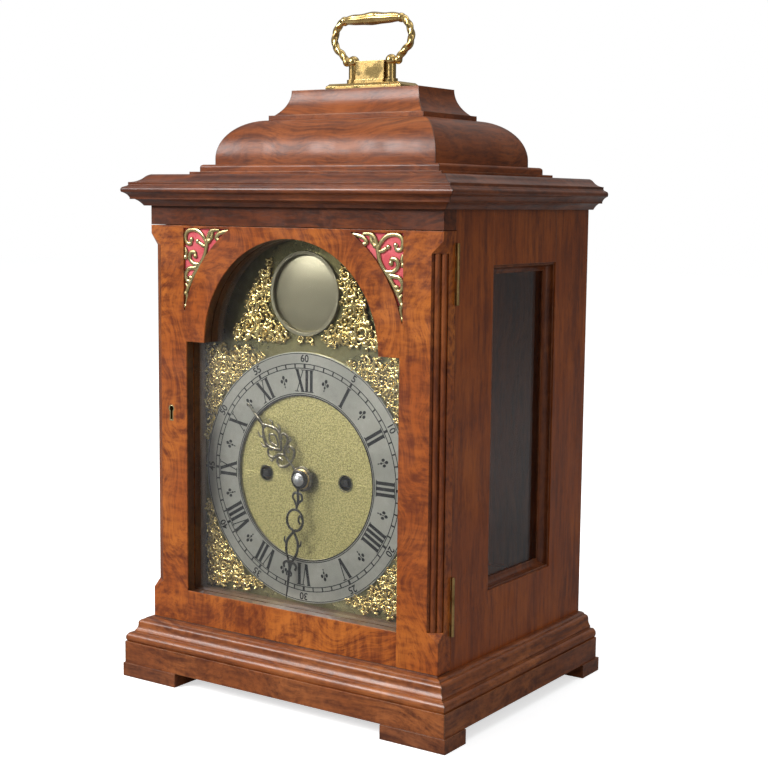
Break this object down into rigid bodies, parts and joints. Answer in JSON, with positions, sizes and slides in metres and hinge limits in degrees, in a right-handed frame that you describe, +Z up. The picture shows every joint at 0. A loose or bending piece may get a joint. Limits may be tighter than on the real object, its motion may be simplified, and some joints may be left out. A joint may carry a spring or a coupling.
{
  "type": "bracket clock",
  "caption": "Bell-top mahogany bracket clock with arched brass dial, glazed opening front door and sides, carrying handle and a pendulum spring movement.",
  "frame": {"origin": "On the surface the clock stands on, under the middle of its four feet.", "axes": "+X to the right seen from the front, +Y to the back, +Z up."},
  "size_m": [0.272, 0.213, 0.4703],
  "materials": {
    "mahogany": "polished",
    "dark_mahogany": "polished",
    "side_mahogany": "polished",
    "veneer": "polished figured veneer",
    "carcase_wood": "plain",
    "window_glass": "clear",
    "polished_brass": "polished",
    "fret_brass": "polished",
    "movement_brass": "satin",
    "dial_brass": "matted and gilt",
    "gilt_brass": "cast and gilt",
    "silvered_brass": "silvered",
    "bell_metal": "satin",
    "steel": "satin",
    "blued_steel": "dark blued",
    "silk": "woven silk"
  },
  "bodies": {
    "case": {"feet": "dark_mahogany", "plinth": "dark_mahogany", "base_moulding": "mahogany", "base_board": "carcase_wood", "case_rails": "mahogany", "right_side": "side_mahogany", "left_side": "side_mahogany", "window_mouldings": "mahogany", "side_glasses": "window_glass", "top_board": "carcase_wood", "cornice": "mahogany", "bell_fillets": "mahogany", "bell_ovolo": "mahogany", "bell_cap": "mahogany", "handle_mount": "polished_brass", "case_hinges": "fret_brass", "dial_mask": "mahogany", "dial_plate": "dial_brass", "chapter_ring": "silvered_brass", "arch_boss": "silvered_brass", "spandrels": "gilt_brass", "movement_frame": "movement_brass", "back_cock": "movement_brass", "seat_board": "carcase_wood", "clicks": "steel", "gong": "bell_metal", "bell_stand": "steel"},
    "front_door": {"front_door_frame": "veneer", "front_door_glass": "window_glass", "corner_reeds": "dark_mahogany", "corner_frets": "fret_brass", "fret_silk": "silk", "keyhole_lining": "fret_brass", "door_lock": "movement_brass", "front_door_hinges": "fret_brass"},
    "lock_bolt": {"lock_bolt": "steel"},
    "back_door": {"back_door_frame": "side_mahogany", "back_door_panel": "side_mahogany", "back_door_hinges": "fret_brass"},
    "back_catch": {"back_catch": "polished_brass"},
    "handle_bail": {"handle_bail": "polished_brass"},
    "going_barrel": {"going_barrel": "movement_brass"},
    "minute_arbor": {"centre_arbor": "movement_brass", "minute_hand": "blued_steel"},
    "hour_wheel": {"hour_wheel": "movement_brass", "hour_hand": "blued_steel"},
    "minute_wheel": {"minute_wheel": "movement_brass"},
    "third_wheel": {"third_wheel": "movement_brass"},
    "escape_wheel": {"escape_wheel": "movement_brass"},
    "going_winding_arbor": {"going_winding_arbor": "steel"},
    "strike_winding_arbor": {"strike_winding_arbor": "steel"},
    "pendulum": {"pendulum_rod": "steel", "pendulum_bob": "polished_brass"},
    "pallets": {"pallets": "steel"},
    "strike_barrel": {"strike_barrel": "movement_brass"},
    "pin_wheel": {"pin_wheel": "movement_brass"},
    "gathering_wheel": {"gathering_wheel": "movement_brass"},
    "fly": {"fly": "movement_brass"},
    "hammer": {"hammer": "steel"}
  },
  "joints": [
    {"name": "front_door_hinge", "type": "hinge", "parent": "case", "child": "front_door", "pos_m": [0.1213, -0.07575, 0.183], "axis": [0, 0, 1], "range_deg": [0, 120]},
    {"name": "lock_bolt_slide", "type": "slide", "parent": "front_door", "child": "lock_bolt", "axis": [-1, 0, 0], "range_m": [0, 0.005]},
    {"name": "back_door_hinge", "type": "hinge", "parent": "case", "child": "back_door", "pos_m": [0.1078, 0.1048, 0.183], "axis": [0, 0, -1], "range_deg": [0, 100]},
    {"name": "back_catch_turn", "type": "hinge", "parent": "back_door", "child": "back_catch", "pos_m": [-0.0976, 0.097, 0.183], "axis": [0, 1, 0], "range_deg": [0, 90]},
    {"name": "handle_hinge", "type": "hinge", "parent": "case", "child": "handle_bail", "pos_m": [0, 0.0046, 0.4365], "axis": [1, 0, 0], "range_deg": [-60, 60]},
    {"name": "going_barrel_turn", "type": "hinge", "parent": "case", "child": "going_barrel", "pos_m": [0.0334, 0, 0.1536], "axis": [0, 1, 0], "continuous": true},
    {"name": "minute_hand_turn", "type": "hinge", "parent": "case", "child": "minute_arbor", "pos_m": [0, 0, 0.1536], "axis": [0, 1, 0], "continuous": true},
    {"name": "hour_hand_turn", "type": "hinge", "parent": "case", "child": "hour_wheel", "pos_m": [0, 0, 0.1536], "axis": [0, 1, 0], "continuous": true},
    {"name": "minute_wheel_turn", "type": "hinge", "parent": "case", "child": "minute_wheel", "pos_m": [0, 0, 0.1368], "axis": [0, 1, 0], "continuous": true},
    {"name": "third_wheel_turn", "type": "hinge", "parent": "case", "child": "third_wheel", "pos_m": [0, 0, 0.17863], "axis": [0, 1, 0], "continuous": true},
    {"name": "escape_wheel_turn", "type": "hinge", "parent": "case", "child": "escape_wheel", "pos_m": [0, 0, 0.20131], "axis": [0, 1, 0], "continuous": true},
    {"name": "going_winding_turn", "type": "hinge", "parent": "case", "child": "going_winding_arbor", "pos_m": [0.0334, 0, 0.1536], "axis": [0, 1, 0], "continuous": true},
    {"name": "strike_winding_turn", "type": "hinge", "parent": "case", "child": "strike_winding_arbor", "pos_m": [-0.0334, 0, 0.1536], "axis": [0, 1, 0], "continuous": true},
    {"name": "pendulum_swing", "type": "hinge", "parent": "case", "child": "pendulum", "pos_m": [0, 0.018, 0.22031], "axis": [0, 1, 0], "range_deg": [-3, 3]},
    {"name": "pallet_rock", "type": "hinge", "parent": "case", "child": "pallets", "pos_m": [0, 0, 0.22031], "axis": [0, 1, 0], "range_deg": [-3, 3]},
    {"name": "strike_barrel_turn", "type": "hinge", "parent": "case", "child": "strike_barrel", "pos_m": [-0.0334, 0, 0.1536], "axis": [0, 1, 0], "continuous": true},
    {"name": "pin_wheel_turn", "type": "hinge", "parent": "case", "child": "pin_wheel", "pos_m": [-0.03625, 0, 0.18621], "axis": [0, 1, 0], "continuous": true},
    {"name": "gathering_wheel_turn", "type": "hinge", "parent": "case", "child": "gathering_wheel", "pos_m": [-0.02725, 0, 0.2018], "axis": [0, 1, 0], "continuous": true},
    {"name": "fly_turn", "type": "hinge", "parent": "case", "child": "fly", "pos_m": [-0.03003, 0, 0.21755], "axis": [0, 1, 0], "continuous": true},
    {"name": "hammer_lift", "type": "hinge", "parent": "case", "child": "hammer", "pos_m": [-0.054, 0, 0.204], "axis": [0, -1, 0], "range_deg": [0, 10]}
  ],
  "couplings": [
    {"joint": "minute_hand_turn", "follows": "going_barrel_turn", "ratio": -9},
    {"joint": "hour_hand_turn", "follows": "going_barrel_turn", "ratio": -0.75},
    {"joint": "minute_wheel_turn", "follows": "going_barrel_turn", "ratio": 3},
    {"joint": "third_wheel_turn", "follows": "going_barrel_turn", "ratio": 108},
    {"joint": "escape_wheel_turn", "follows": "going_barrel_turn", "ratio": -1404},
    {"joint": "pallet_rock", "follows": "pendulum_swing", "ratio": 1},
    {"joint": "pin_wheel_turn", "follows": "strike_barrel_turn", "ratio": -11.25},
    {"joint": "gathering_wheel_turn", "follows": "strike_barrel_turn", "ratio": 90},
    {"joint": "fly_turn", "follows": "strike_barrel_turn", "ratio": -630}
  ]
}
